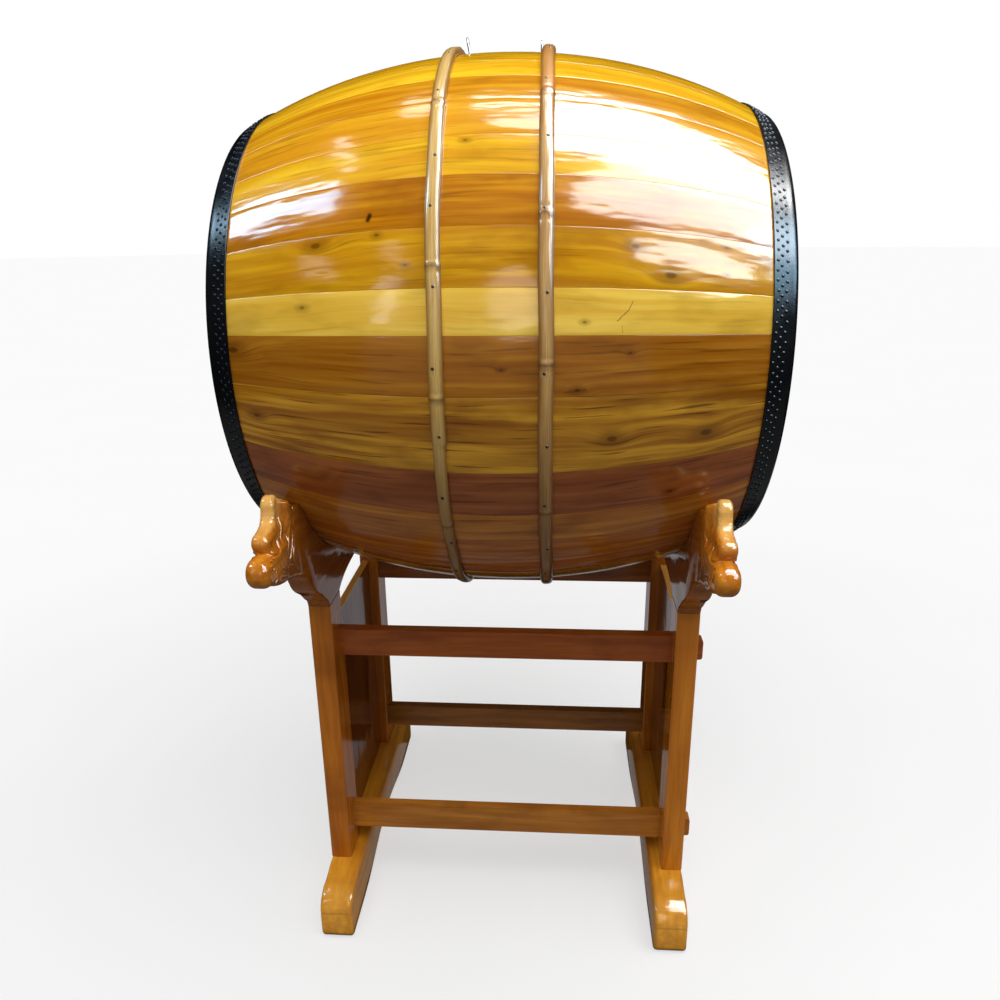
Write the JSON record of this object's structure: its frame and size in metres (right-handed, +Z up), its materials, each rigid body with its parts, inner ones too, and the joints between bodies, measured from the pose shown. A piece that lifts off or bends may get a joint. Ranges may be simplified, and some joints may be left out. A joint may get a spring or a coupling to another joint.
{
  "type": "barrel drum on a stand",
  "caption": "Large barrel drum of bulged wooden staves with two tacked hide heads and cane hoops, lying in a wooden stand with dragon-head cradle beams.",
  "frame": {"origin": "on the floor, under the middle of the drum", "axes": "+Z up, X along the drum's axis from head to head, -Y to the front of the stand"},
  "size_m": [0.9308, 1.0718, 1.7603],
  "materials": {
    "stave": "clear gloss lacquer",
    "hide": "black gloss lacquer",
    "cane": "varnished cane",
    "iron": "worn dull",
    "stand": "amber gloss lacquer"
  },
  "bodies": {
    "root": {"stave_01": "stave", "stave_02": "stave", "stave_03": "stave", "stave_04": "stave", "stave_05": "stave", "stave_06": "stave", "stave_07": "stave", "stave_08": "stave", "stave_09": "stave", "stave_10": "stave", "stave_11": "stave", "stave_12": "stave", "stave_13": "stave", "stave_14": "stave", "stave_15": "stave", "stave_16": "stave", "stave_17": "stave", "stave_18": "stave", "stave_19": "stave", "stave_20": "stave", "stave_21": "stave", "stave_22": "stave", "stave_23": "stave", "stave_24": "stave", "stave_25": "stave", "stave_26": "stave", "stave_27": "stave", "stave_28": "stave", "stave_29": "stave", "stave_30": "stave", "stave_31": "stave", "stave_32": "stave", "stave_33": "stave", "stave_34": "stave", "stave_35": "stave", "stave_36": "stave", "head_left": "hide", "head_right": "hide", "hoop_left": "cane", "hoop_right": "cane", "crown_eye_left": "iron", "crown_eye_right": "iron", "foot_left": "stand", "foot_right": "stand", "rail_front_top": "stand", "rail_back_top": "stand", "rail_front_bottom": "stand", "rail_back_bottom": "stand", "post_front_left": "stand", "post_back_left": "stand", "post_front_right": "stand", "post_back_right": "stand", "panel_left": "stand", "panel_right": "stand", "cradle_left": "stand", "cradle_right": "stand"}
  },
  "joints": []
}
